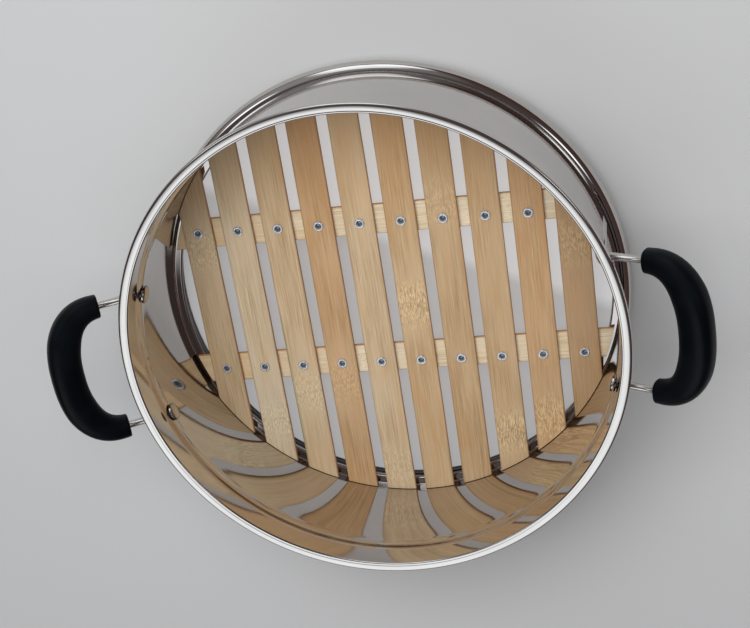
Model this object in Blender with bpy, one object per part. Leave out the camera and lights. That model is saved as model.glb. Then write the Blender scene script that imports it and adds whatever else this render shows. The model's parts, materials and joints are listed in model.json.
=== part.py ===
"""Steamer tier: a stainless steel ring wall with two side handles and a loose slatted bamboo grate.

The tier lies flat as it does on a pot. +Z is up, +X runs through the two handles, and the origin is on
the ring's axis at the level of the bottom hem. All lengths are in metres.
"""

import math

import bmesh
import bpy
from mathutils import Matrix, Vector

# Clearance that keeps neighbouring faceted pieces apart
GAP = 0.0003

# Steel ring: overall height, sheet and radii
SHEET = 0.0008
RIM_TOP = 0.1115
RIM_RADIUS = 0.155
RIM_ROLL_R = 0.0033
RIM_ROLL_START = 6.0
LIP_ROLL_R = 0.00075
LIP_DROP = 0.0011
LIP_ROLL_END = 60.0
COLLAR_IN_R = 0.1486
COLLAR_DEPTH = 0.015
STEP_HEIGHT = 0.005
STEP_EASE = 0.2
WALL_IN_R = 0.147
RING_SEGMENTS = 48

# Seat bead that sits on the pot's rim, and the skirt below it that nests in the pot
BEAD_R = 0.0060
BEAD_CENTRE_R = 0.1475
BEAD_Z = 0.0197
BEAD_INSIDE_END = 70.0
HEM_THICKNESS = 0.0016
HEM_HEIGHT = 0.0045
HEM_CHAMFER = 0.0003

# Ledge that carries the grate
LEDGE_TOP = 0.018
LEDGE_FILLET_R = 0.002
CURL_R = 0.0016
CURL_CENTRE_R = 0.1428

# Bamboo grate
SLAT_COUNT = 10
SLAT_PITCH = 0.02678
SLAT_WIDTH = 0.0199
STRIP_THICKNESS = 0.0028
STRIP_EDGE = 0.0004
SLAT_END_R = 0.1462
SLAT_MEAN_TURN = math.radians(-0.37)
SLAT_FAN_TURN = math.radians(0.8)
BATTEN_Y = {"front": -0.0512, "back": 0.0465}
BATTEN_WIDTH = 0.020
BATTEN_END_R = 0.1445
BATTEN_BOTTOM = LEDGE_TOP + GAP
SLAT_BOTTOM = BATTEN_BOTTOM + STRIP_THICKNESS + GAP
SLAT_TOP = SLAT_BOTTOM + STRIP_THICKNESS
END_ARC_STEPS = 4

# Tubular rivets, one at each crossing; their rows run slightly askew to the battens
RIVET_ROW_Y = {"front": -0.0501, "back": 0.0482}
RIVET_ROW_SKEW = math.radians(-1.2)
RIVET_SHANK_R = 0.0016
RIVET_HOLE_R = 0.0021
RIVET_FLANGE_R = 0.0031
RIVET_FLANGE_EDGE = 0.00025
RIVET_FLANGE_HEIGHT = 0.0007
RIVET_BORE_LIP = 0.0004
RIVET_BORE_R = 0.0014
RIVET_BORE_DEPTH = 0.0012
RIVET_HEAD_R = 0.0034
RIVET_HEAD_FACE_R = 0.0026
RIVET_HEAD_HEIGHT = 0.0008
RIVET_HEAD_DOME = 0.0005
RIVET_SEGMENTS = 10

# Handles: each is built at +X and then turned about Z to its place on the wall
HANDLE_TURNS = {"left": math.pi, "right": math.radians(0.85)}

# The grip and the bow of its wire lie in a plane that rises outward from the wall
HANDLE_TILT = math.radians(27.5)
HANDLE_FOOT = Vector((0.146, 0.0, RIM_TOP - 0.022))
WIRE_R = 0.00225
WIRE_HALF_SPACING = 0.0418
WIRE_SIDES = 10
WIRE_CLEARANCE = 0.0004

# Each straight leg runs through a hole in the wall and ends inside its own head
LEG_INNER_END = -0.0023
WIRE_HOLE_DEPTH = 0.02

# Domed head formed on each leg's end. Its flat back stands off far enough to clear the curved wall
HEAD_R = 0.0056
HEAD_STANDOFF = 0.0008
HEAD_HEIGHT = 0.0028
HEAD_RIM = 0.3
HEAD_DOME_ANGLES = (math.radians(30), math.radians(60))
HEAD_SEGMENTS = 16

GRIP_START = 0.0225
BOW_START = 0.0245
BOW_REACH = 0.0515
BOW_EXPONENT = 2.35
BOW_STEPS = 18
GRIP_END_HALF = Vector((0.0073, 0.0067))
GRIP_MIDDLE_HALF = Vector((0.0103, 0.0090))
GRIP_SWELL = 1.2
GRIP_EXPONENT = 2.5
GRIP_EDGE_R = 0.0013
GRIP_SIDES = 14

SMOOTH_ANGLE = math.radians(35)


# ---------------------------------------------------------------- scene and materials

def clear_scene():
    for item in list(bpy.data.objects):
        bpy.data.objects.remove(item, do_unlink=True)


def material(name, colour, roughness, metallic):
    result = bpy.data.materials.new(name)
    result.use_nodes = True
    shader = result.node_tree.nodes["Principled BSDF"]
    shader.inputs["Base Color"].default_value = (*colour, 1.0)
    shader.inputs["Roughness"].default_value = roughness
    shader.inputs["Metallic"].default_value = metallic
    return result


def steel_material(name):
    return material(name, (0.72, 0.72, 0.73), 0.12, 1.0)


def wire_material(name):
    return material(name, (0.60, 0.59, 0.57), 0.25, 1.0)


def slat_material(name):
    return material(name, (0.66, 0.47, 0.28), 0.55, 0.0)


def batten_material(name):
    return material(name, (0.80, 0.70, 0.48), 0.6, 0.0)


def rivet_material(name):
    return material(name, (0.70, 0.72, 0.78), 0.2, 1.0)


def grip_material(name):
    return material(name, (0.012, 0.013, 0.017), 0.45, 0.0)


def empty(name):
    result = bpy.data.objects.new(name, None)
    bpy.context.scene.collection.objects.link(result)
    return result


def add_object(name, body, finish=None, parent=None):
    """Turns a bmesh into a linked object with outward faces and smooth round sides."""
    bmesh.ops.recalc_face_normals(body, faces=body.faces)
    mesh = bpy.data.meshes.new(name)
    body.to_mesh(mesh)
    body.free()
    mesh.shade_smooth()
    mesh.set_sharp_from_angle(angle=SMOOTH_ANGLE)
    result = bpy.data.objects.new(name, mesh)
    bpy.context.scene.collection.objects.link(result)
    if finish:
        mesh.materials.append(finish(name))
    if parent:
        result.parent = parent
    return result


def add_cutter(name, body, parent=None):
    cutter = add_object(name, body, parent=parent)
    cutter.hide_render = True
    cutter.display_type = "WIRE"
    return cutter


def boolean(target, tool, operation):
    modifier = target.modifiers.new(operation.lower(), "BOOLEAN")
    modifier.operation = operation
    modifier.object = tool


# ---------------------------------------------------------------- mesh helpers

def arc(centre, radius, start_deg, end_deg, steps):
    """Points on a circular arc in the (radius, height) plane, both ends included."""
    angles = (start_deg + (end_deg - start_deg) * i / steps for i in range(steps + 1))
    return [
        (centre[0] + radius * math.cos(math.radians(a)), centre[1] + radius * math.sin(math.radians(a)))
        for a in angles
    ]


def bridge(body, ring_a, ring_b):
    count = len(ring_a)
    for i in range(count):
        j = (i + 1) % count
        body.faces.new((ring_a[i], ring_a[j], ring_b[j], ring_b[i]))


def turned(profile, segments, closed):
    """Revolves (radius, height) points about Z. An open profile gets flat caps at its two ends."""
    body = bmesh.new()
    rings = []
    for radius, height in profile:
        ring = []
        for i in range(segments):
            angle = 2 * math.pi * i / segments
            ring.append(body.verts.new((radius * math.cos(angle), radius * math.sin(angle), height)))
        rings.append(ring)
    for ring_a, ring_b in zip(rings, rings[1:]):
        bridge(body, ring_a, ring_b)
    if closed:
        bridge(body, rings[-1], rings[0])
    else:
        body.faces.new(rings[0])
        body.faces.new(rings[-1])
    return body


def swept_rings(body, frames, section_at):
    """One vertex ring per frame; section_at(i) lists each ring's points in the frame's own plane."""
    rings = []
    for i, (origin, across, up) in enumerate(frames):
        rings.append([body.verts.new(origin + across * a + up * b) for a, b in section_at(i)])
    for ring_a, ring_b in zip(rings, rings[1:]):
        bridge(body, ring_a, ring_b)
    return rings


def superellipse(half_a, half_b, exponent, sides):
    points = []
    for i in range(sides):
        angle = 2 * math.pi * (i + 0.5) / sides
        cosine, sine = math.cos(angle), math.sin(angle)
        points.append((
            half_a * math.copysign(abs(cosine) ** (2 / exponent), cosine),
            half_b * math.copysign(abs(sine) ** (2 / exponent), sine),
        ))
    return points


# ---------------------------------------------------------------- steel ring

def rim_profile():
    """Inner lip and outer roll of the top rim, from the collar's inside over the top to its outside."""
    collar_out_r = COLLAR_IN_R + SHEET
    lip_centre = (COLLAR_IN_R + LIP_ROLL_R, RIM_TOP - LIP_DROP)
    roll_centre = (RIM_RADIUS - RIM_ROLL_R, RIM_TOP - RIM_ROLL_R)
    meet = 180 - math.degrees(math.acos((roll_centre[0] - collar_out_r) / RIM_ROLL_R))
    lip = arc(lip_centre, LIP_ROLL_R, 180, LIP_ROLL_END, 3)
    roll = arc(roll_centre, RIM_ROLL_R, meet - RIM_ROLL_START, -meet, 8)
    return lip + roll


def step_profile(inset):
    """The collar's step down to the wall, on the outside (inset = SHEET) or the inside (inset = 0)."""
    top = RIM_TOP - COLLAR_DEPTH
    bend = STEP_HEIGHT / 3
    ease = (COLLAR_IN_R - WALL_IN_R) * STEP_EASE
    return [
        (COLLAR_IN_R + inset, top),
        (COLLAR_IN_R + inset - ease, top - bend),
        (WALL_IN_R + inset + ease, top - 2 * bend),
        (WALL_IN_R + inset, top - STEP_HEIGHT),
    ]


def seat_and_skirt_profile():
    """Outside of the seat bead, the skirt and its hem, and back up the inside of the hollow bead."""
    wall_out_r = WALL_IN_R + SHEET
    centre = (BEAD_CENTRE_R, BEAD_Z)
    join = math.degrees(math.acos((wall_out_r - BEAD_CENTRE_R) / BEAD_R))
    outside = arc(centre, BEAD_R, join, -join, 6)
    hem_in_r = wall_out_r - HEM_THICKNESS
    hem = [
        (wall_out_r, HEM_CHAMFER),
        (wall_out_r - HEM_CHAMFER, 0.0),
        (hem_in_r + HEM_CHAMFER, 0.0),
        (hem_in_r, HEM_CHAMFER),
        (hem_in_r, HEM_HEIGHT),
        (WALL_IN_R, HEM_HEIGHT + HEM_CHAMFER),
    ]
    inner_r = BEAD_R - SHEET
    low = -math.degrees(math.acos((WALL_IN_R - BEAD_CENTRE_R) / inner_r))
    inside = arc(centre, inner_r, low, BEAD_INSIDE_END, 4)
    return outside + hem + inside


def ledge_profile():
    """Underside of the ledge, the curl at its inner edge and its top, out to the wall's fillet."""
    fillet_centre = (WALL_IN_R - LEDGE_FILLET_R, LEDGE_TOP + LEDGE_FILLET_R)
    under_fillet = arc(fillet_centre, LEDGE_FILLET_R + SHEET, 0, -90, 3)
    curl_centre = (CURL_CENTRE_R, LEDGE_TOP - CURL_R)
    start = math.degrees(math.asin((CURL_R - SHEET) / CURL_R))
    curl = arc(curl_centre, CURL_R, start, -270, 5)
    top_fillet = arc(fillet_centre, LEDGE_FILLET_R, -90, 0, 3)
    return under_fillet + curl + top_fillet


def add_steel_ring():
    profile = rim_profile() + step_profile(SHEET) + seat_and_skirt_profile()
    profile += ledge_profile() + list(reversed(step_profile(0.0)))
    ring = add_object("steel_ring", turned(profile, RING_SEGMENTS, closed=True), steel_material)
    holes = bmesh.new()
    hole_r = WIRE_R + WIRE_CLEARANCE
    along_leg = handle_direction().to_track_quat("Z", "Y").to_matrix().to_4x4()
    for turn in HANDLE_TURNS.values():
        for end in (-1, 1):
            place = Matrix.Rotation(turn, 4, "Z") @ Matrix.Translation(leg_foot(end)) @ along_leg
            bmesh.ops.create_cone(
                holes, cap_ends=True, segments=WIRE_SIDES, radius1=hole_r, radius2=hole_r,
                depth=WIRE_HOLE_DEPTH, matrix=place)
    boolean(ring, add_cutter("wire_hole_cutters", holes), "DIFFERENCE")


# ---------------------------------------------------------------- bamboo grate

def slat_offset(index):
    return (index - (SLAT_COUNT - 1) / 2) * SLAT_PITCH


def slat_turn(index):
    """Each slat's small turn about Z: the hand-laid slats fan slightly from one side to the other."""
    return SLAT_MEAN_TURN + SLAT_FAN_TURN * (index / (SLAT_COUNT - 1) - 0.5)


def strip(offset, turn, width, end_radius):
    """A flat strip along its own Y, with both ends cut to a circle about the ring's axis."""
    lateral = [width * (i / END_ARC_STEPS - 0.5) for i in range(END_ARC_STEPS + 1)]
    middle = offset * math.sin(turn)
    across = offset * math.cos(turn)
    far_end = [(u, middle + math.sqrt(end_radius ** 2 - (across + u) ** 2)) for u in lateral]
    near_end = [(u, middle - math.sqrt(end_radius ** 2 - (across + u) ** 2)) for u in reversed(lateral)]
    body = bmesh.new()
    face = body.faces.new([body.verts.new((u, v, 0.0)) for u, v in far_end + near_end])
    extruded = bmesh.ops.extrude_face_region(body, geom=[face])
    raised = [item for item in extruded["geom"] if isinstance(item, bmesh.types.BMVert)]
    bmesh.ops.translate(body, verts=raised, vec=(0.0, 0.0, STRIP_THICKNESS))
    return body


def finish_strip(piece, hole_cutter):
    piece.data.shade_flat()
    soften = piece.modifiers.new("softened_edges", "BEVEL")
    soften.width = STRIP_EDGE
    soften.segments = 1
    soften.limit_method = "ANGLE"
    soften.angle_limit = SMOOTH_ANGLE
    boolean(piece, hole_cutter, "DIFFERENCE")


def add_slats(parent, hole_cutter):
    for index in range(SLAT_COUNT):
        offset, turn = slat_offset(index), slat_turn(index)
        body = strip(offset, turn, SLAT_WIDTH, SLAT_END_R)
        slat = add_object(f"slat_{index + 1:02d}", body, slat_material, parent)
        slat.location = (offset, 0.0, SLAT_BOTTOM)
        slat.rotation_euler.z = turn
        finish_strip(slat, hole_cutter)


def add_battens(parent, hole_cutter):
    for name, y in BATTEN_Y.items():
        # The strip's own Y runs along -X here, so its offset from the axis is measured along +Y
        body = strip(y, 0.0, BATTEN_WIDTH, BATTEN_END_R)
        batten = add_object(f"batten_{name}", body, batten_material, parent)
        batten.location = (0.0, y, BATTEN_BOTTOM)
        batten.rotation_euler.z = math.pi / 2
        finish_strip(batten, hole_cutter)


def rivet_places():
    """(row name, number, x, y) of each rivet, on its slat's centre line and along its askew row."""
    places = []
    for row, row_y in RIVET_ROW_Y.items():
        for index in range(SLAT_COUNT):
            along = row_y + slat_offset(index) * math.tan(RIVET_ROW_SKEW)
            turn = slat_turn(index)
            places.append((row, index + 1, slat_offset(index) - along * math.sin(turn), along))
    return places


def rivet_profile():
    bottom = BATTEN_BOTTOM - GAP - RIVET_HEAD_HEIGHT
    seat = SLAT_TOP + GAP
    return [
        (RIVET_HEAD_FACE_R, bottom),
        (RIVET_HEAD_R, bottom + RIVET_HEAD_DOME),
        (RIVET_HEAD_R, bottom + RIVET_HEAD_HEIGHT),
        (RIVET_SHANK_R, bottom + RIVET_HEAD_HEIGHT),
        (RIVET_SHANK_R, seat),
        (RIVET_FLANGE_R, seat),
        (RIVET_FLANGE_R, seat + RIVET_FLANGE_EDGE),
        ((RIVET_FLANGE_R + RIVET_BORE_R) / 2, seat + RIVET_FLANGE_HEIGHT),
        (RIVET_BORE_R, seat + RIVET_BORE_LIP),
        (RIVET_BORE_R, seat - RIVET_BORE_DEPTH),
    ]


def rivet_hole_cutter(parent):
    holes = bmesh.new()
    height = (BATTEN_BOTTOM + SLAT_TOP) / 2
    for _, _, x, y in rivet_places():
        bmesh.ops.create_cone(
            holes, cap_ends=True, segments=RIVET_SEGMENTS, radius1=RIVET_HOLE_R, radius2=RIVET_HOLE_R,
            depth=4 * STRIP_THICKNESS, matrix=Matrix.Translation((x, y, height)))
    return add_cutter("rivet_hole_cutters", holes, parent)


def add_rivets(parent):
    for row, number, x, y in rivet_places():
        body = turned(rivet_profile(), RIVET_SEGMENTS, closed=False)
        rivet = add_object(f"rivet_{row}_{number:02d}", body, rivet_material, parent)
        rivet.location = (x, y, 0.0)


# ---------------------------------------------------------------- handles

def handle_point(reach, sideways):
    """A point in the handle's tilted plane: reach runs outward from its foot, sideways along Y."""
    return Vector((
        HANDLE_FOOT.x + reach * math.cos(HANDLE_TILT),
        sideways,
        HANDLE_FOOT.z + reach * math.sin(HANDLE_TILT),
    ))


def handle_direction():
    return Vector((math.cos(HANDLE_TILT), 0.0, math.sin(HANDLE_TILT)))


def leg_foot(end):
    """Where a leg's axis crosses the middle of the wall's sheet."""
    sideways = end * WIRE_HALF_SPACING
    wall_x = math.sqrt((WALL_IN_R + SHEET / 2) ** 2 - sideways ** 2)
    return handle_point((wall_x - HANDLE_FOOT.x) / math.cos(HANDLE_TILT), sideways)


def leg_inner_end(end):
    return leg_foot(end) + handle_direction() * LEG_INNER_END


def bow_points():
    """The bow in the handle's plane: a superellipse quarter, mirrored about the middle."""
    points = []
    for i in range(BOW_STEPS + 1):
        angle = math.pi * (i / BOW_STEPS - 0.5)
        cosine, sine = math.cos(angle), math.sin(angle)
        reach = BOW_START + (BOW_REACH - BOW_START) * abs(cosine) ** (2 / BOW_EXPONENT)
        sideways = WIRE_HALF_SPACING * math.copysign(abs(sine) ** (2 / BOW_EXPONENT), sine)
        points.append(handle_point(reach, sideways))
    return points


def grip_points():
    start = handle_point(GRIP_START, -WIRE_HALF_SPACING)
    finish = handle_point(GRIP_START, WIRE_HALF_SPACING)
    return [start] + bow_points() + [finish]


def path_frames(points):
    """Origin, in-plane normal and upward normal at each point of a path."""
    plane_normal = handle_direction().cross(Vector((0.0, 1.0, 0.0)))
    frames = []
    for i, point in enumerate(points):
        before, after = points[max(i - 1, 0)], points[min(i + 1, len(points) - 1)]
        along = (after - before).normalized()
        across = along.cross(plane_normal).normalized()
        frames.append((point, across, across.cross(along)))
    return frames


def add_wire(name, turn):
    points = [leg_inner_end(-1)] + grip_points() + [leg_inner_end(1)]
    body = bmesh.new()
    circle = superellipse(WIRE_R, WIRE_R, 2.0, WIRE_SIDES)
    rings = swept_rings(body, path_frames(points), lambda i: circle)
    body.faces.new(rings[0])
    body.faces.new(rings[-1])
    wire = add_object(name, body, wire_material)
    wire.rotation_euler.z = turn
    for end in (-1, 1):
        head = add_cutter(f"{name}_head_tool", head_body(end))
        head.rotation_euler.z = turn
        boolean(wire, head, "UNION")


def head_body(end):
    """The domed head formed on a leg's end, flat against the inside of the wall."""
    foot = leg_foot(end)
    inward = -Vector((foot.x, foot.y, 0.0)).normalized()
    back = SHEET / 2 + HEAD_STANDOFF
    profile = [(HEAD_R, back), (HEAD_R, back + HEAD_HEIGHT * HEAD_RIM)]
    for angle in HEAD_DOME_ANGLES:
        rise = HEAD_RIM + (1 - HEAD_RIM) * math.sin(angle)
        profile.append((HEAD_R * math.cos(angle), back + HEAD_HEIGHT * rise))
    body = turned(profile, HEAD_SEGMENTS, closed=False)
    place = Matrix.Translation(foot) @ inward.to_track_quat("Z", "Y").to_matrix().to_4x4()
    bmesh.ops.transform(body, matrix=place, verts=body.verts)
    return body


def grip_half_sizes(sideways):
    """The grip swells from its ends to its middle."""
    swell = min(1.0, GRIP_SWELL * math.sqrt(max(0.0, 1.0 - (sideways / WIRE_HALF_SPACING) ** 2)))
    return GRIP_END_HALF.lerp(GRIP_MIDDLE_HALF, swell)


def add_grip(name, turn):
    points = grip_points()
    frames = path_frames(points)
    halves = [grip_half_sizes(point.y) for point in points]
    first, last = frames[0], frames[-1]
    inward = handle_direction() * GRIP_EDGE_R
    shell_frames = [first, (first[0] + inward, first[1], first[2])] + frames[1:-1]
    shell_frames += [(last[0] + inward, last[1], last[2]), last]
    shell_halves = [halves[0]] + halves + [halves[-1]]

    def shell_section(i):
        shrink = GRIP_EDGE_R if i in (0, len(shell_frames) - 1) else 0.0
        half = shell_halves[i]
        return superellipse(half.x - shrink, half.y - shrink, GRIP_EXPONENT, GRIP_SIDES)

    body = bmesh.new()
    shell = swept_rings(body, shell_frames, shell_section)
    tunnel_r = WIRE_R + WIRE_CLEARANCE
    tunnel_section = superellipse(tunnel_r, tunnel_r, 2.0, GRIP_SIDES)
    tunnel = swept_rings(body, frames, lambda i: tunnel_section)
    bridge(body, shell[0], tunnel[0])
    bridge(body, shell[-1], tunnel[-1])
    grip = add_object(name, body, grip_material)
    grip.rotation_euler.z = turn


def add_handles():
    for name, turn in HANDLE_TURNS.items():
        add_wire(f"handle_wire_{name}", turn)
        add_grip(f"handle_grip_{name}", turn)


def main():
    clear_scene()
    add_steel_ring()
    add_handles()
    grate = empty("grate_lift_axis")
    cutter = rivet_hole_cutter(grate)
    add_battens(grate, cutter)
    add_slats(grate, cutter)
    add_rivets(grate)


main()
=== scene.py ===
"""Looks for the steamer tier: a mirror polished steel ring, a riveted bamboo grate and two side handles."""
import json
import math

import bmesh
import bpy
from mathutils import Matrix, Vector, noise

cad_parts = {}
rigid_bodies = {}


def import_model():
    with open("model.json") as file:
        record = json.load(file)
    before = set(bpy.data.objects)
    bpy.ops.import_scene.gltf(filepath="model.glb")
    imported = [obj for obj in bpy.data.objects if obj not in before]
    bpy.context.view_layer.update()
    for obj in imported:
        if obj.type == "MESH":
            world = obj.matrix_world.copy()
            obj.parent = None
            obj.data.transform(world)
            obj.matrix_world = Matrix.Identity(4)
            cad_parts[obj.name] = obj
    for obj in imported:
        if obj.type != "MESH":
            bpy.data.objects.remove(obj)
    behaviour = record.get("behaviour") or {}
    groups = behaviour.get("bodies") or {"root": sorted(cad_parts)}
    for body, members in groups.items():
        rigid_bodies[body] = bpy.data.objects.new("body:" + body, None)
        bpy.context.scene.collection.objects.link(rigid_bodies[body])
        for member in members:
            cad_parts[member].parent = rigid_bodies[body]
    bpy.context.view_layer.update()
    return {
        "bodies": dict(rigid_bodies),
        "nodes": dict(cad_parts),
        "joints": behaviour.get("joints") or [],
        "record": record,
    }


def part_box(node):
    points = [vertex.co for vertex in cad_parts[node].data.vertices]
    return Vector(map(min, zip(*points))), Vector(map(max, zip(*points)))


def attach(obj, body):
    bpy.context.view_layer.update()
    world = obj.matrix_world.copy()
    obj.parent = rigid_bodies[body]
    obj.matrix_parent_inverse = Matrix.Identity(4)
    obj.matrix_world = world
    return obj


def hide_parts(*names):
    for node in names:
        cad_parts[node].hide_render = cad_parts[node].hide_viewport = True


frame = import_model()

# ---------------------------------------------------------------- driving sizes, read from the frame

RING_LOW, RING_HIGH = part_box("steel_ring")
RIM_RADIUS = RING_HIGH.x
RIM_TOP = RING_HIGH.z
SLAT_LOW, SLAT_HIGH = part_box("slat_05")
SLAT_NUMBERS = [f"{number:02d}" for number in range(1, 11)]
ROWS = ("front", "back")

# Steel ring, all measured from the rim
SHEET = 0.0008
ROLL_R = 0.0033
LIP_R = 0.0010
LIP_DROP = 0.0001
RIM_CREASE_R = RIM_RADIUS - 0.0047
RIM_CREASE_HALF = 0.0003
RIM_CREASE_DEPTH = 0.00007
RIM_CREASE_RISE = 0.00003
RIM_EXPONENT = 4.6
RIM_STEPS = 24
COLLAR_R = RIM_RADIUS - 0.0064
COLLAR_FOOT = RIM_TOP - 0.015
STEP_HEIGHT = 0.0062
SWELL = 0.00012
SWELL_HEIGHT = 0.005
WALL_R = RIM_RADIUS - 0.008
BEAD_R = 0.0060
BEAD_CENTRE = (WALL_R + 0.0005, RING_LOW.z + 0.0197)
HOLLOW_END_DEG = 70
HEM_THICKNESS = 0.0016
HEM_HEIGHT = 0.0045
HEM_ROUND = 0.0003
LEDGE_TOP = RING_LOW.z + 0.018
FILLET_R = 0.0014
CURL_R = 0.0016
CURL_CENTRE_R = WALL_R - 0.0042
RING_SEGMENTS = 320
ROUND_SEGMENTS = 40

# Grate
STRIP_THICKNESS = SLAT_HIGH.z - SLAT_LOW.z
SLAT_WIDTH = 0.0199
SLAT_END_R = 0.1467
BATTEN_END_R = 0.1445
STRIP_ROUND = 0.0006
END_ROUND = 0.0002
STRIP_STATIONS = 110
STRIP_COLUMNS = 10
CORNER_STEPS = 3
HOLE_R = 0.0021
HOLE_TOOL_LENGTH = 0.02
SIDE_WANDER = 0.00016
FACE_WAVE = 0.00005
NODE_RIDGE = 0.00011
NODE_RIDGE_SPREAD = 0.0016

# Handles
HANDLE_TURNS = {"left": math.pi, "right": math.radians(0.85)}
HANDLE_TILT = math.radians(27.5)
HANDLE_FOOT = Vector((0.146, 0.0, RIM_TOP - 0.022))
WIRE_R = 0.00225
WIRE_CLEARANCE = 0.0004
WIRE_HALF_SPACING = 0.0418
LEG_INNER_END = -0.0023
HEAD_R = 0.0056
HEAD_STANDOFF = 0.0008
HEAD_HEIGHT = 0.0028
HEAD_EDGE = 0.0002
HEAD_RIM_RISE = 0.25
HEAD_DOME_RISE = 0.72
WIRE_SIDES = 28
WIRE_STEPS = 72
GRIP_START = 0.0225
BOW_START = 0.0245
BOW_REACH = 0.0515
BOW_EXPONENT = 2.35
GRIP_END_HALF = Vector((0.0073, 0.0067))
GRIP_MIDDLE_HALF = Vector((0.0103, 0.0090))
GRIP_SWELL = 1.2
GRIP_EXPONENT = 2.5
GRIP_EDGE_R = 0.0013
GRIP_EDGE_STEPS = 6
GRIP_SEAM = 0.012
GRIP_SEAM_SPREAD = 0.00035
GRIP_SIDES = 64
GRIP_STEPS = 84


# ---------------------------------------------------------------- mesh helpers

SHARP_DEG = 40


def arc(centre, radius, start_deg, end_deg, steps):
    """Points on a circular arc in the (radius, height) plane, both ends included."""
    points = []
    for i in range(steps + 1):
        angle = math.radians(start_deg + (end_deg - start_deg) * i / steps)
        points.append((centre[0] + radius * math.cos(angle), centre[1] + radius * math.sin(angle)))
    return points


def bridge(body, ring_a, ring_b):
    count = len(ring_a)
    for i in range(count):
        j = (i + 1) % count
        body.faces.new((ring_a[i], ring_a[j], ring_b[j], ring_b[i]))


def turned(profile, segments, closed):
    """Revolves (radius, height) points about Z. An open profile starts and ends on the axis."""
    body = bmesh.new()
    rings = []
    for radius, height in profile:
        if radius <= 0.0:
            rings.append([body.verts.new((0.0, 0.0, height))])
            continue
        ring = []
        for i in range(segments):
            angle = 2 * math.pi * i / segments
            ring.append(body.verts.new((radius * math.cos(angle), radius * math.sin(angle), height)))
        rings.append(ring)
    pairs = list(zip(rings, rings[1:]))
    if closed:
        pairs.append((rings[-1], rings[0]))
    for ring_a, ring_b in pairs:
        if len(ring_a) == 1 or len(ring_b) == 1:
            tip, ring = (ring_a[0], ring_b) if len(ring_a) == 1 else (ring_b[0], ring_a)
            for i in range(segments):
                body.faces.new((tip, ring[i], ring[(i + 1) % segments]))
        else:
            bridge(body, ring_a, ring_b)
    return body


def superellipse(half_a, half_b, exponent, sides):
    points = []
    for i in range(sides):
        angle = 2 * math.pi * (i + 0.5) / sides
        cosine, sine = math.cos(angle), math.sin(angle)
        points.append((
            half_a * math.copysign(abs(cosine) ** (2 / exponent), cosine),
            half_b * math.copysign(abs(sine) ** (2 / exponent), sine),
        ))
    return points


def swept_rings(body, frames, section_at):
    rings = []
    for i, (origin, across, up) in enumerate(frames):
        rings.append([body.verts.new(origin + across * a + up * b) for a, b in section_at(i)])
    for ring_a, ring_b in zip(rings, rings[1:]):
        bridge(body, ring_a, ring_b)
    return rings


def add_object(name, body, material=None):
    bmesh.ops.recalc_face_normals(body, faces=body.faces)
    mesh = bpy.data.meshes.new(name)
    body.to_mesh(mesh)
    body.free()
    mesh.shade_smooth()
    mesh.set_sharp_from_angle(angle=math.radians(SHARP_DEG))
    piece = bpy.data.objects.new(name, mesh)
    bpy.context.scene.collection.objects.link(piece)
    if material:
        mesh.materials.append(material)
    return piece


def boolean_now(piece, tool, operation):
    """Applies one exact Boolean and removes its tool."""
    modifier = piece.modifiers.new("cut", "BOOLEAN")
    modifier.operation = operation
    modifier.object = tool
    bpy.context.view_layer.update()
    graph = bpy.context.evaluated_depsgraph_get()
    mesh = bpy.data.meshes.new_from_object(piece.evaluated_get(graph))
    piece.modifiers.remove(modifier)
    old = piece.data
    piece.data = mesh
    bpy.data.meshes.remove(old)
    tool_mesh = tool.data
    bpy.data.objects.remove(tool)
    bpy.data.meshes.remove(tool_mesh)


def install(piece, body, slot, *nodes):
    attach(piece, body)
    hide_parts(*nodes)


# ---------------------------------------------------------------- node material helpers

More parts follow.
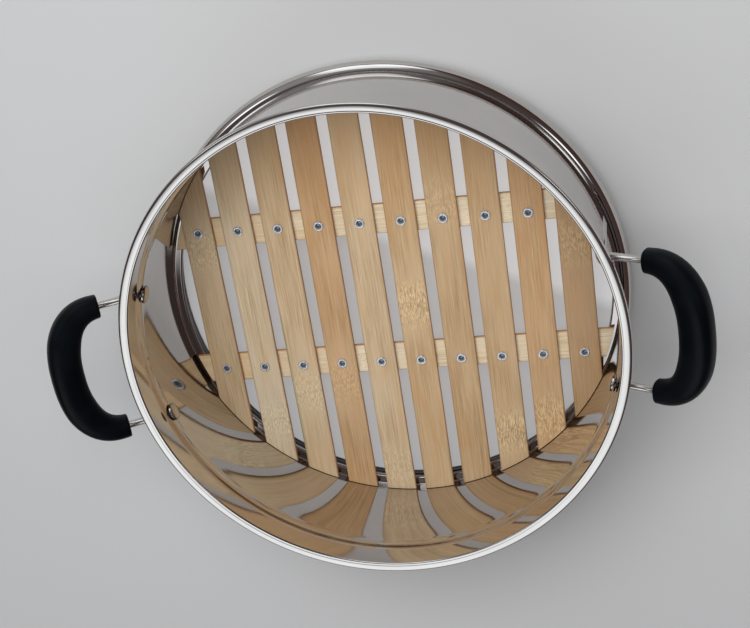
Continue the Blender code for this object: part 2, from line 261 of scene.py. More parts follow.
class Shader:
    """A Principled material whose maps are built from small node calls."""

    def __init__(self, name, roughness, metallic=0.0):
        self.material = bpy.data.materials.new(name)
        self.material.use_nodes = True
        self.tree = self.material.node_tree
        self.out = self.tree.nodes["Principled BSDF"]
        self.out.inputs["Roughness"].default_value = roughness
        self.out.inputs["Metallic"].default_value = metallic
        self.place = self.tree.nodes.new("ShaderNodeTexCoord")

    def feed(self, node, socket, value):
        """Links a socket to another one or sets it to a constant. None leaves it alone."""
        if isinstance(value, bpy.types.NodeSocket):
            self.tree.links.new(value, node.inputs[socket])
        elif value is not None:
            node.inputs[socket].default_value = value

    def set(self, socket, value):
        self.feed(self.out, socket, value)

    def math(self, operation, a, b=None, c=None):
        node = self.tree.nodes.new("ShaderNodeMath")
        node.operation = operation
        for index, value in enumerate((a, b, c)):
            self.feed(node, index, value)
        return node.outputs[0]

    def stretched(self, scale, shift=(0.0, 0.0, 0.0), source=None):
        node = self.tree.nodes.new("ShaderNodeMapping")
        self.feed(node, "Vector", source or self.place.outputs["Object"])
        node.inputs["Scale"].default_value = scale
        node.inputs["Location"].default_value = shift
        return node.outputs[0]

    def noise(self, vector, detail=2.0, roughness=0.5):
        node = self.tree.nodes.new("ShaderNodeTexNoise")
        self.feed(node, "Vector", vector)
        node.inputs["Scale"].default_value = 1.0
        node.inputs["Detail"].default_value = detail
        node.inputs["Roughness"].default_value = roughness
        return node.outputs[0]

    def axes(self, vector):
        node = self.tree.nodes.new("ShaderNodeSeparateXYZ")
        self.feed(node, 0, vector)
        return node.outputs

    def distance(self, x, y):
        """How far a place is from the object's own Z axis."""
        squares = self.math("ADD", self.math("MULTIPLY", x, x), self.math("MULTIPLY", y, y))
        return self.math("SQRT", squares)

    def vector(self, x, y, z):
        node = self.tree.nodes.new("ShaderNodeCombineXYZ")
        for index, value in enumerate((x, y, z)):
            self.feed(node, index, value)
        return node.outputs[0]

    def ranged(self, value, low, high, to_low=0.0, to_high=1.0, smooth=False):
        node = self.tree.nodes.new("ShaderNodeMapRange")
        node.interpolation_type = "SMOOTHSTEP" if smooth else "LINEAR"
        node.clamp = True
        sockets = ("From Min", "From Max", "To Min", "To Max")
        for socket, number in zip(sockets, (low, high, to_low, to_high)):
            node.inputs[socket].default_value = number
        self.feed(node, "Value", value)
        return node.outputs[0]

    def mixed(self, factor, a, b):
        node = self.tree.nodes.new("ShaderNodeMix")
        node.data_type = "RGBA"
        self.feed(node, 0, factor)
        for index, value in ((6, a), (7, b)):
            if isinstance(value, (tuple, list)):
                value = (*value[:3], 1.0)
            self.feed(node, index, value)
        return node.outputs[2]

    def bump(self, height, distance, strength, normal=None):
        node = self.tree.nodes.new("ShaderNodeBump")
        node.inputs["Strength"].default_value = strength
        node.inputs["Distance"].default_value = distance
        self.feed(node, "Height", height)
        self.feed(node, "Normal", normal)
        return node.outputs[0]


def scaled(colour, *factors):
    """The colour times one factor, or times one factor for each channel."""
    if len(factors) == 1:
        factors *= len(colour)
    return tuple(channel * factor for channel, factor in zip(colour, factors))


# ---------------------------------------------------------------- steel

STEEL_TONE = (0.61, 0.585, 0.56)
STEEL_SMEARED = 0.84
STEEL_ROUGHNESS = (0.03, 0.09)
# A darker pinkish grey for the ledge, its curl and the sheet inside the bead and hem, full below the first
# height and gone above the second
LEDGE_TINT = (0.46, 0.42, 0.41)
LEDGE_TINT_FULL = 0.025
LEDGE_TINT_END = 0.036
# Near-black painted shade for the underside of the ledge's curl and the sheet hidden below it
UNDERSIDE_SHADE = (0.07, 0.06, 0.06)
POLISH_SCALE = (2600.0, 2600.0, 22.0)
SMEAR_SCALE = (26.0, 26.0, 34.0)
SPOT_SCALE = (420.0, 420.0, 420.0)
RIPPLE_SCALE = (14.0, 14.0, 8.4)


def steel_material():
    """Polished sheet: faint turned polishing lines, handling smears, a slightly rippled mirror, a darker
    pinkish grey low on the ledge and painted shade under its curl.
    """
    low_rough, high_rough = STEEL_ROUGHNESS
    shader = Shader("polished_steel", low_rough, 1.0)
    x, y, z = shader.axes(shader.place.outputs["Object"])
    across = shader.distance(x, y)
    polish = shader.noise(shader.stretched(POLISH_SCALE, source=shader.vector(across, z, x)), detail=3.0)
    smear = shader.noise(shader.stretched(SMEAR_SCALE), detail=4.0, roughness=0.62)
    spots = shader.noise(shader.stretched(SPOT_SCALE))
    shade = shader.ranged(smear, 0.3, 0.72, 0.5, 1.0)
    tone = shader.mixed(shade, scaled(STEEL_TONE, STEEL_SMEARED), STEEL_TONE)
    # Darker pinkish grey on the steel inside the wall's radius, full low down and fading out upwards
    low_wall = shader.ranged(
        shader.math("MULTIPLY_ADD", smear, 0.012, z), LEDGE_TINT_FULL, LEDGE_TINT_END, 0.7, 0.0, smooth=True)
    within = shader.ranged(across, WALL_R - 0.0003, WALL_R, 1.0, 0.0)
    tone = shader.mixed(shader.math("MULTIPLY", low_wall, within), tone, LEDGE_TINT)
    # Painted shade: inside the wall and below the crest of the curl, the steel is painted near black
    under = shader.math("MULTIPLY", shader.ranged(z, LEDGE_TOP - 0.0006, LEDGE_TOP - 0.0014), within)
    shader.set("Base Color", shader.mixed(under, tone, UNDERSIDE_SHADE))
    worn = shader.math("MULTIPLY_ADD", polish, 0.35, smear)
    shader.set("Roughness", shader.ranged(worn, 0.42, 0.95, low_rough, high_rough))
    wave = shader.noise(shader.stretched(RIPPLE_SCALE), detail=1.0)
    rippled = shader.bump(wave, 0.0012, 0.07)
    lined = shader.bump(polish, 0.00001, 0.3, rippled)
    shader.set("Normal", shader.bump(spots, 0.00002, 0.18, lined))
    return shader.material


def step_inside(inset, steps):
    """The collar's smooth step down to the wall, top to bottom."""
    points = []
    for i in range(steps + 1):
        share = i / steps
        radius = WALL_R + (COLLAR_R - WALL_R) * (0.5 + 0.5 * math.cos(math.pi * share))
        points.append((radius + inset, COLLAR_FOOT - STEP_HEIGHT * share))
    return points


def ring_profile():
    """Closed outline of the sheet: over the rim, down the outside, round the hem and up the inside."""
    collar_out = COLLAR_R + SHEET
    roll_centre = (RIM_RADIUS - ROLL_R, RIM_TOP - ROLL_R)
    meet = 180 - math.degrees(math.acos((roll_centre[0] - collar_out) / ROLL_R))
    lip_top = RIM_TOP - LIP_DROP
    rim = arc((COLLAR_R + LIP_R, lip_top - LIP_R), LIP_R, 180, 90, 12)
    rim += [
        (RIM_CREASE_R - RIM_CREASE_HALF, lip_top),
        (RIM_CREASE_R, lip_top - RIM_CREASE_DEPTH),
        (RIM_CREASE_R + RIM_CREASE_HALF, lip_top + RIM_CREASE_RISE),
    ]
    for i in range(RIM_STEPS):
        angle = math.pi / 2 * (1 - i / RIM_STEPS)
        out, up = math.cos(angle) ** (2 / RIM_EXPONENT), math.sin(angle) ** (2 / RIM_EXPONENT)
        rim.append((roll_centre[0] + ROLL_R * out, roll_centre[1] + ROLL_R * up))
    rim += arc(roll_centre, ROLL_R, 0, -meet, 16)
    wall_out = WALL_R + SHEET
    join = math.degrees(math.acos((wall_out - BEAD_CENTRE[0]) / BEAD_R))
    bead = arc(BEAD_CENTRE, BEAD_R, join, -join, 26)
    hem_in = wall_out - HEM_THICKNESS
    hem = arc((wall_out - HEM_ROUND, HEM_ROUND), HEM_ROUND, 0, -90, 3)
    hem += arc((hem_in + HEM_ROUND, HEM_ROUND), HEM_ROUND, -90, -180, 3)
    hem += [(hem_in, HEM_HEIGHT), (WALL_R, HEM_HEIGHT + HEM_ROUND)]
    hollow_r = BEAD_R - SHEET
    low = -math.degrees(math.acos((WALL_R - BEAD_CENTRE[0]) / hollow_r))
    hollow = arc(BEAD_CENTRE, hollow_r, low, HOLLOW_END_DEG, 12)
    return rim + step_inside(SHEET, 10) + bead + hem + hollow + ledge_profile() + inner_wall_profile()


def ledge_profile():
    """Underside of the ledge, the curl at its inner edge and its top, out to the wall's fillet."""
    fillet_centre = (WALL_R - FILLET_R, LEDGE_TOP + FILLET_R)
    under = arc(fillet_centre, FILLET_R + SHEET, 0, -90, 6)
    curl_centre = (CURL_CENTRE_R, LEDGE_TOP - CURL_R)
    start = math.degrees(math.asin((CURL_R - SHEET) / CURL_R))
    curl = arc(curl_centre, CURL_R, start, -270, 18)
    top = arc(fillet_centre, FILLET_R, -90, 0, 8)
    return under + curl + top


def inner_wall_profile():
    points = []
    bottom, top = LEDGE_TOP + FILLET_R, COLLAR_FOOT - STEP_HEIGHT
    for i in range(1, 12):
        points.append((WALL_R, bottom + (top - SWELL_HEIGHT - bottom) * i / 12))
    for i in range(8):
        share = i / 8
        swell = SWELL * math.sin(math.pi * share) ** 2
        points.append((WALL_R - swell, top - SWELL_HEIGHT * (1 - share)))
    return points + list(reversed(step_inside(0.0, 14)))


def add_ring():
    body = turned(ring_profile(), RING_SEGMENTS, closed=True)
    ring = add_object("steel_ring_polished", body, steel_material())
    holes = bmesh.new()
    along_leg = handle_direction().to_track_quat("Z", "Y").to_matrix().to_4x4()
    hole_r = WIRE_R + WIRE_CLEARANCE
    for turn in HANDLE_TURNS.values():
        for end in (-1, 1):
            place = Matrix.Rotation(turn, 4, "Z") @ Matrix.Translation(leg_foot(end)) @ along_leg
            bmesh.ops.create_cone(
                holes, cap_ends=True, segments=32, radius1=hole_r, radius2=hole_r,
                depth=HOLE_TOOL_LENGTH, matrix=place)
    boolean_now(ring, add_object("hole_tool", holes), "DIFFERENCE")
    install(ring, "tier", "polished_steel", "steel_ring")


# ---------------------------------------------------------------- bamboo

def strip_section(half_width, half_height, corner):
    """Upper half of a rounded rectangle, left to right; the lower half mirrors it."""
    left = arc((-half_width + corner, half_height - corner), corner, 180, 90, CORNER_STEPS)
    right = arc((half_width - corner, half_height - corner), corner, 90, 0, CORNER_STEPS)
    middle = []
    for i in range(1, STRIP_COLUMNS):
        share = i / STRIP_COLUMNS
        middle.append((left[-1][0] + (right[0][0] - left[-1][0]) * share, half_height))
    return left + middle + right


class Strip:
    """A bamboo strip lying along its own Y, with its ends cut to a circle about the ring's axis."""

    def __init__(self, centre, turn, width, end_radius, seed, ridges=()):
        self.centre = Vector(centre)
        self.turn = turn
        self.half_width = width / 2
        self.end_radius = end_radius
        self.seed = seed
        self.ridges = ridges

    def end_at(self, x, side):
        """Where the circle crosses the strip's length at x across it."""
        across = Vector((math.cos(self.turn), math.sin(self.turn)))
        along = Vector((-math.sin(self.turn), math.cos(self.turn)))
        start = self.centre.xy + across * x
        middle = start.dot(along)
        return -middle + side * math.sqrt(middle ** 2 - start.length_squared + self.end_radius ** 2)

    def stations(self):
        """(share of the length, inset, distance in from the end) for each ring of points."""
        rows = []
        for i in range(CORNER_STEPS):
            angle = math.pi / 2 * i / CORNER_STEPS
            rows.append((0.0, END_ROUND * (1 - math.sin(angle)), END_ROUND * (1 - math.cos(angle))))
        for i in range(STRIP_STATIONS + 1):
            rows.append((i / STRIP_STATIONS, 0.0, END_ROUND))
        for i in reversed(range(CORNER_STEPS)):
            angle = math.pi / 2 * i / CORNER_STEPS
            rows.append((1.0, END_ROUND * (1 - math.sin(angle)), END_ROUND * (1 - math.cos(angle))))
        return rows

    def shaped(self, x, y, z):
        """Hand-planed unevenness, and the low ridge that each bamboo node leaves across the strip."""
        place = Vector((x * 60, y * 22, self.seed * 5.1))
        side = noise.noise(Vector((math.copysign(3.0, x), y * 30, self.seed * 2.7)))
        moved_x = x + SIDE_WANDER * side * abs(x) / self.half_width
        lift = FACE_WAVE * noise.noise(place)
        for ridge in self.ridges:
            lift += NODE_RIDGE * math.exp(-((y - ridge) / NODE_RIDGE_SPREAD) ** 2) * (1 if z > 0 else 0)
        return (moved_x, y, z + (lift if z > 0 else -abs(lift) * 0.3))

    def body(self):
        half_height = STRIP_THICKNESS / 2
        mesh = bmesh.new()
        rings = []
        for share, inset, from_end in self.stations():
            corner = max(STRIP_ROUND - inset, STRIP_ROUND * 0.25)
            upper = strip_section(self.half_width - inset, half_height - inset, corner)
            ring = []
            for x, z in upper + [(x, -z) for x, z in reversed(upper)]:
                near = self.end_at(x, -1) + from_end
                far = self.end_at(x, 1) - from_end
                ring.append(mesh.verts.new(self.shaped(x, near + (far - near) * share, z)))
            rings.append(ring)
        for ring_a, ring_b in zip(rings, rings[1:]):
            bridge(mesh, ring_a, ring_b)
        for ring in (rings[0], rings[-1]):
            count = len(ring)
            for i in range(count // 2 - 1):
                mesh.faces.new((ring[i], ring[i + 1], ring[count - 2 - i], ring[count - 1 - i]))
        return mesh

    def matrix(self, height):
        return Matrix.Translation((self.centre.x, self.centre.y, height)) @ Matrix.Rotation(self.turn, 4, "Z")


# Noise scales across, along and through a strip
FIBRE_SCALE = (1000.0, 26.0, 800.0)
FINE_SCALE = (3200.0, 90.0, 2400.0)
VESSEL_SCALE = (1700.0, 12.0, 1400.0)
BROAD_SCALE = (120.0, 20.0, 60.0)
FLOW_SCALE = (60.0, 16.0, 30.0)
WANDER_SCALE = (230.0, 30.0, 60.0)
SPECKLE_SCALE = (2000.0, 300.0, 1300.0)

# Tones of the bamboo, as factors on the strip's own tone
LIGHT_FIBRE = (1.18, 1.24, 1.31)
DARK_FIBRE = (0.75, 0.665, 0.54)
WARM_BAND = (1.04, 0.90, 0.74)
PALE_BAND = (1.15, 1.26, 1.42)
# Painted shade of the ring's wall, darkening the strips towards one end
WALL_SHADE_TONE = (0.93, 0.76, 0.55)
FLECK = (1.45, 1.6, 1.55)

# Brown for the strips' side faces, given by which way each face turns
SIDE_FACE_TONE = (0.42, 0.20, 0.085)
CUT_END = (0.30, 0.17, 0.08)
GREEN_RIND = (0.16, 0.19, 0.06)


def mottled_nodes(shader, colour, tone, y, wander, shift, nodes, mottle):
    """A pale halo, a band of broken flecks and pits, and a thin line at each bamboo node."""
    dark, pale = scaled(tone, *DARK_FIBRE), scaled(tone, *PALE_BAND)
    wandering_y = shader.math("MULTIPLY_ADD", wander, 0.010, shader.math("SUBTRACT", y, 0.005))
    speckle = shader.noise(shader.stretched(SPECKLE_SCALE, shift), detail=2.5, roughness=0.62)
    flecked = shader.ranged(speckle, 0.49, 0.6)
    pitted = shader.ranged(speckle, 0.47, 0.39)
    for place in nodes:
        away = shader.math("ABSOLUTE", shader.math("SUBTRACT", wandering_y, place))
        halo = shader.ranged(away, 0.006, 0.044, 0.5 * mottle, 0.0, smooth=True)
        colour = shader.mixed(halo, colour, pale)
        band = shader.ranged(away, 0.005, 0.023, mottle, 0.0, smooth=True)
        colour = shader.mixed(shader.math("MULTIPLY", band, flecked), colour, scaled(tone, *FLECK))
        pits = shader.math("MULTIPLY", shader.math("MULTIPLY", band, pitted), 0.75)
        colour = shader.mixed(pits, colour, scaled(dark, 0.86))
        line = shader.ranged(away, 0.0003, 0.0009, 0.25 * mottle, 0.0)
        colour = shader.mixed(line, colour, scaled(dark, 0.7))
    return colour


def browned_edges(shader, colour, dark, x, y, wander, green):
    """Darker arrises, partly chipped and partly painted shade, brown side faces and cut ends, and a trace of
    green rind if the strip kept some.
    """
    # Arris lines: chipped edges and painted shade along both sides
    chipped = shader.math("MULTIPLY_ADD", wander, 0.0012, shader.math("ABSOLUTE", x))
    edge = shader.ranged(chipped, 0.0093, 0.0106, 0.0, 0.42, smooth=True)
    colour = shader.mixed(edge, colour, scaled(dark, 0.55))
    if green:
        rind = shader.math("MULTIPLY", shader.ranged(x, 0.0078, 0.0097), shader.ranged(y, 0.0, 0.04))
        colour = shader.mixed(shader.math("MULTIPLY", rind, green), colour, GREEN_RIND)
    # Faces that turn sideways are coloured brown
    normal_x, normal_y, _ = shader.axes(shader.place.outputs["Normal"])
    side = shader.ranged(shader.math("ABSOLUTE", normal_x), 0.3, 0.85, 0.0, 0.85)
    colour = shader.mixed(side, colour, SIDE_FACE_TONE)
    cut = shader.ranged(shader.math("ABSOLUTE", normal_y), 0.4, 0.9, 0.0, 0.6)
    return shader.mixed(cut, colour, CUT_END)


def bamboo_material(name, tone, seed, nodes, mottle, green=0.0):
    """Planed bamboo: long fibres, darker vessels, node bands with broken speckle, brown edges and sides, and
    painted shade of the ring's wall towards one end.
    """
    shader = Shader(name, 0.5)
    dark = scaled(tone, *DARK_FIBRE)
    shift = (seed * 7.31, seed * 3.17, seed * 1.9)
    x, y, _ = shader.axes(shader.place.outputs["Object"])
    fibre = shader.noise(shader.stretched(FIBRE_SCALE, shift), detail=4.0, roughness=0.6)
    fine = shader.noise(shader.stretched(FINE_SCALE, shift))
    vessel = shader.noise(shader.stretched(VESSEL_SCALE, shift), detail=1.0)
    broad = shader.noise(shader.stretched(BROAD_SCALE, shift))
    flow = shader.noise(shader.stretched(FLOW_SCALE, shift), detail=1.0)
    wander = shader.noise(shader.stretched(WANDER_SCALE, shift))

    grain = shader.ranged(shader.math("MULTIPLY_ADD", fine, 0.5, fibre), 0.5, 1.0)
    colour = shader.mixed(grain, dark, scaled(tone, *LIGHT_FIBRE))
    streak = shader.math("MULTIPLY", shader.ranged(vessel, 0.56, 0.7), 0.38)
    colour = shader.mixed(streak, colour, scaled(dark, 0.7))
    colour = shader.mixed(shader.ranged(broad, 0.46, 0.68, 0.0, 0.6), colour, scaled(tone, *WARM_BAND))
    colour = shader.mixed(shader.ranged(flow, 0.42, 0.68, 0.0, 0.42), colour, scaled(tone, *PALE_BAND))
    # Painted shade: the wall's shadow darkens the strip towards its negative-y end
    painted_wall_shade = shader.ranged(y, -0.03, -0.13, 0.0, 0.55, smooth=True)
    colour = shader.mixed(painted_wall_shade, colour, scaled(tone, *WALL_SHADE_TONE))
    colour = mottled_nodes(shader, colour, tone, y, wander, shift, nodes, mottle)
    colour = browned_edges(shader, colour, dark, x, y, wander, green)

    shader.set("Base Color", colour)
    shader.set("Roughness", shader.ranged(grain, 0.0, 1.0, 0.6, 0.46))
    height = shader.math("MULTIPLY_ADD", fine, 0.4, fibre)
    shader.set("Normal", shader.bump(height, 0.00012, 0.5))
    shader.set("Specular IOR Level", 0.35)
    return shader.material


# The four kinds of strip, as hues to be scaled by a brightness
HONEY = (1.0, 0.64, 0.34)
TAN = (1.0, 0.68, 0.38)
STRAW = (1.0, 0.74, 0.46)
PALE = (1.0, 0.79, 0.53)

# Each slat: its kind, its brightness, the places of its bamboo nodes along it, and how strongly
# they are mottled
SLAT_LOOKS = {
    "01": (HONEY, 0.40, (-0.028,), 0.7),
    "02": (HONEY, 0.50, (0.097,), 0.9),
    "03": (TAN, 0.49, (0.106,), 1.0),
    "04": (TAN, 0.49, (-0.059,), 0.45),
    "05": (TAN, 0.52, (0.008,), 0.9),
    "06": (STRAW, 0.56, (0.128,), 0.4),
    "07": (HONEY, 0.50, (0.062,), 0.55),
    "08": (STRAW, 0.55, (0.068,), 0.6),
    "09": (PALE, 0.58, (0.087,), 0.5),
    "10": (STRAW, 0.48, (-0.042,), 0.6),
}
GREEN_SLAT = "08"
BATTEN_TONE = (0.68, 0.565, 0.395)
BATTEN_NODES = {"front": 0.071, "back": -0.029}
BATTEN_MOTTLE = 0.35
BATTEN_SEED = 40


def slat_strip(number):
    low_a, high_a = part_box(f"rivet_front_{number}")
    low_b, high_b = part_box(f"rivet_back_{number}")
    front, back = (low_a + high_a) / 2, (low_b + high_b) / 2
    along = (back - front).xy.normalized()
    nearest = front.xy - along * front.xy.dot(along)
    turn = math.atan2(-along.x, along.y)
    ridges = SLAT_LOOKS[number][2]
    return Strip((nearest.x, nearest.y, 0.0), turn, SLAT_WIDTH, SLAT_END_R, int(number), ridges)


def hole_tool(numbers_and_rows):
    holes = bmesh.new()
    for number, row in numbers_and_rows:
        low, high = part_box(f"rivet_{row}_{number}")
        place = Matrix.Translation((low + high) / 2)
        bmesh.ops.create_cone(
            holes, cap_ends=True, segments=24, radius1=HOLE_R, radius2=HOLE_R,
            depth=HOLE_TOOL_LENGTH, matrix=place)
    return add_object("hole_tool", holes)


def add_slats():
    for number in SLAT_NUMBERS:
        hue, brightness, nodes, mottle = SLAT_LOOKS[number]
        tone = scaled(hue, brightness)
        green = 0.5 if number == GREEN_SLAT else 0.0
        finish = bamboo_material(f"bamboo_slat_{number}", tone, int(number), nodes, mottle, green)
        strip = slat_strip(number)
        slat = add_object(f"slat_{number}_bamboo", strip.body(), finish)
        slat.matrix_world = strip.matrix((SLAT_LOW.z + SLAT_HIGH.z) / 2)
        boolean_now(slat, hole_tool([(number, row) for row in ROWS]), "DIFFERENCE")
        install(slat, "grate", "bamboo", f"slat_{number}")


def add_battens():
    for seed, row in enumerate(ROWS, BATTEN_SEED):
        low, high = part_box(f"batten_{row}")
        finish = bamboo_material(
            f"bamboo_batten_{row}", BATTEN_TONE, seed, (BATTEN_NODES[row],), BATTEN_MOTTLE)
        middle = (low + high) / 2
        strip = Strip((0.0, middle.y, 0.0), math.pi / 2, high.y - low.y, BATTEN_END_R, seed)
        batten = add_object(f"batten_{row}_bamboo", strip.body(), finish)
        batten.matrix_world = strip.matrix(middle.z)
        boolean_now(batten, hole_tool([(number, row) for number in SLAT_NUMBERS]), "DIFFERENCE")
        install(batten, "grate", "pale_bamboo", f"batten_{row}")


# ---------------------------------------------------------------- rivets

RIVET_SHANK_R = 0.0019
RIVET_FLANGE_R = 0.0033
RIVET_BORE_R = 0.0018
RIVET_HEAD_R = 0.0034
RIVET_BORE_DEPTH = 0.0019
RIVET_FLANGE_HEIGHT = 0.0007
RIVET_HEAD_HEIGHT = 0.0008
RIVET_ROLL_LIFT = 0.00012
RIVET_ROLL_HEIGHT = 0.00055
RIVET_TURN_STEP = 1.7
RIVET_PLATE_DULL = (0.66, 0.69, 0.74)
RIVET_PLATE_CLEAN = (0.88, 0.91, 0.96)
# Dark grey painted shade inside the rivet's bore
RIVET_BORE_SHADE = (0.17, 0.19, 0.20)


def rivet_profile(bottom, top):
    """Tubular rivet on the axis: domed head below, shank, and the end rolled over into a ring above."""
    seat = top - RIVET_FLANGE_HEIGHT
    head = bottom + RIVET_HEAD_HEIGHT
    middle, half = (RIVET_FLANGE_R + RIVET_BORE_R) / 2, (RIVET_FLANGE_R - RIVET_BORE_R) / 2
    roll = []
    for radius, height in arc((0.0, 0.0), 1.0, 0, 180, 10):
        roll.append((middle + half * radius, seat + RIVET_ROLL_LIFT + RIVET_ROLL_HEIGHT * height))
    dome = [(0.0, bottom)]
    for i in range(1, 7):
        angle = math.pi / 2 * i / 6
        dome.append((RIVET_HEAD_R * math.sin(angle), head - (head - bottom) * math.cos(angle)))
    bore_floor = top - RIVET_BORE_DEPTH
    bore = [(RIVET_BORE_R * 0.93, top - 0.0009), (RIVET_BORE_R * 0.88, bore_floor + 0.0002)]
    bore += [
        (RIVET_BORE_R * 0.62, bore_floor), (RIVET_BORE_R * 0.3, bore_floor - 0.00012), (0.0, bore_floor)]
    shank = [(RIVET_SHANK_R, head), (RIVET_SHANK_R, seat), (RIVET_FLANGE_R, seat)]
    return dome + shank + roll + bore


def rivet_material():
    shader = Shader("rivet_steel", 0.2, 0.72)
    stain = shader.noise(shader.stretched((700.0, 700.0, 700.0)), detail=3.0)
    x, y, _ = shader.axes(shader.place.outputs["Object"])
    # Painted shade: the bore is painted dark grey
    inside = shader.ranged(shader.distance(x, y), 0.0014, 0.0019, 1.0, 0.0, smooth=True)
    plate = shader.mixed(shader.ranged(stain, 0.35, 0.7), RIVET_PLATE_DULL, RIVET_PLATE_CLEAN)
    shader.set("Base Color", shader.mixed(inside, plate, RIVET_BORE_SHADE))
    shader.set("Roughness", shader.ranged(stain, 0.3, 0.75, 0.16, 0.34))
    shader.set("Normal", shader.bump(stain, 0.00004, 0.4))
    return shader.material


def add_rivets():
    finish = rivet_material()
    for row in ROWS:
        for number in SLAT_NUMBERS:
            low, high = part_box(f"rivet_{row}_{number}")
            body = turned(rivet_profile(low.z, high.z), ROUND_SEGMENTS, closed=False)
            rivet = add_object(f"rivet_{row}_{number}_steel", body, finish)
            rivet.location = ((low.x + high.x) / 2, (low.y + high.y) / 2, 0.0)
            rivet.rotation_euler.z = int(number) * RIVET_TURN_STEP
            install(rivet, "grate", "rivet_steel", f"rivet_{row}_{number}")


# ---------------------------------------------------------------- handles

def handle_point(reach, sideways):
    """A point in the handle's tilted plane: reach runs outward from its foot, sideways along Y."""
    return Vector((
        HANDLE_FOOT.x + reach * math.cos(HANDLE_TILT),
        sideways,
        HANDLE_FOOT.z + reach * math.sin(HANDLE_TILT),
    ))


def handle_direction():
    return Vector((math.cos(HANDLE_TILT), 0.0, math.sin(HANDLE_TILT)))


def leg_foot(end):
    sideways = end * WIRE_HALF_SPACING
    wall_x = math.sqrt((WALL_R + SHEET / 2) ** 2 - sideways ** 2)
    return handle_point((wall_x - HANDLE_FOOT.x) / math.cos(HANDLE_TILT), sideways)


def bow_points(steps):
    points = []
    for i in range(steps + 1):
        angle = math.pi * (i / steps - 0.5)
        cosine, sine = math.cos(angle), math.sin(angle)
        reach = BOW_START + (BOW_REACH - BOW_START) * abs(cosine) ** (2 / BOW_EXPONENT)
        sideways = WIRE_HALF_SPACING * math.copysign(abs(sine) ** (2 / BOW_EXPONENT), sine)
        points.append(handle_point(reach, sideways))
    return points


def grip_points(steps):
    start = handle_point(GRIP_START, -WIRE_HALF_SPACING)
    finish = handle_point(GRIP_START, WIRE_HALF_SPACING)
    return [start] + bow_points(steps) + [finish]


def path_frames(points):
    plane_normal = handle_direction().cross(Vector((0.0, 1.0, 0.0)))
    frames = []
    for i, point in enumerate(points):
        before, after = points[max(i - 1, 0)], points[min(i + 1, len(points) - 1)]
        along = (after - before).normalized()
        across = along.cross(plane_normal).normalized()
        frames.append((point, across, across.cross(along)))
    return frames


def head_body(end):
    """The domed head formed on a leg's end, flat against the inside of the wall."""
    foot = leg_foot(end)
    inward = -Vector((foot.x, foot.y, 0.0)).normalized()
    back = SHEET / 2 + HEAD_STANDOFF
    profile = [(0.0, back), (HEAD_R - HEAD_EDGE, back), (HEAD_R, back + HEAD_EDGE)]
    for i in range(1, 8):
        angle = math.pi / 2 * i / 8
        rise = HEAD_RIM_RISE + HEAD_DOME_RISE * math.sin(angle)
        profile.append((HEAD_R * math.cos(angle), back + HEAD_HEIGHT * rise))
    profile.append((0.0, back + HEAD_HEIGHT * (HEAD_RIM_RISE + HEAD_DOME_RISE)))
    body = turned(profile, ROUND_SEGMENTS, closed=False)
    place = Matrix.Translation(foot) @ inward.to_track_quat("Z", "Y").to_matrix().to_4x4()
    bmesh.ops.transform(body, matrix=place, verts=body.verts)
    return body


WIRE_DULL = (0.50, 0.47, 0.43)
WIRE_CLEAN = (0.66, 0.64, 0.61)


def wire_material():
    shader = Shader("wire_steel", 0.2, 1.0)
    drawn = shader.noise(shader.stretched((60.0, 2200.0, 2200.0)), detail=2.0)
    stain = shader.noise(shader.stretched((90.0, 90.0, 90.0)), detail=3.0)
    shader.set("Base Color", shader.mixed(shader.ranged(stain, 0.35, 0.7), WIRE_DULL, WIRE_CLEAN))
    shader.set("Roughness", shader.ranged(stain, 0.3, 0.7, 0.14, 0.26))
    shader.set("Normal", shader.bump(drawn, 0.00002, 0.35))
    return shader.material


def add_wires():
    finish = wire_material()
    for side, turn in HANDLE_TURNS.items():
        feet = [leg_foot(end) + handle_direction() * LEG_INNER_END for end in (-1, 1)]
        points = [feet[0]] + grip_points(WIRE_STEPS) + [feet[1]]
        circle = superellipse(WIRE_R, WIRE_R, 2.0, WIRE_SIDES)
        body = bmesh.new()
        rings = swept_rings(body, path_frames(points), lambda i: circle)
        body.faces.new(rings[0])
        body.faces.new(rings[-1])
        wire = add_object(f"handle_wire_{side}_steel", body, finish)
        for end in (-1, 1):
            boolean_now(wire, add_object("head_tool", head_body(end)), "UNION")
        wire.rotation_euler.z = turn
        install(wire, "tier", "wire_steel", f"handle_wire_{side}")


GRIP_DARK = (0.0012, 0.002, 0.003)
GRIP_LIGHT = (0.003, 0.0045, 0.0065)


def grip_material():
    """Black moulded plastic: fine spark-eroded grain, slightly shinier where hands rub it."""
    shader = Shader("grip_plastic", 0.4)
    grain = shader.noise(shader.stretched((2400.0, 2400.0, 2400.0)), detail=2.0)
    rub = shader.noise(shader.stretched((38.0, 38.0, 38.0)), detail=2.0)
    shader.set("Base Color", shader.mixed(shader.ranged(rub, 0.35, 0.7), GRIP_DARK, GRIP_LIGHT))
    worn = shader.math("MULTIPLY_ADD", grain, 0.25, rub)
    shader.set("Roughness", shader.ranged(worn, 0.4, 0.9, 0.34, 0.5))
    shader.set("Normal", shader.bump(grain, 0.00004, 0.3))
    shader.set("Specular IOR Level", 0.1)
    return shader.material


def grip_half_sizes(sideways):
    swell = min(1.0, GRIP_SWELL * math.sqrt(max(0.0, 1.0 - (sideways / WIRE_HALF_SPACING) ** 2)))
    return GRIP_END_HALF.lerp(GRIP_MIDDLE_HALF, swell)


def grip_section(half, shrink):
    """Rounded section with the faint raised parting line that the mould leaves at its two sides."""
    points = []
    for a, b in superellipse(half.x - shrink, half.y - shrink, GRIP_EXPONENT, GRIP_SIDES):
        seam = 1.0 + GRIP_SEAM * math.exp(-(b / GRIP_SEAM_SPREAD) ** 2)
        points.append((a * seam, b))
    return points


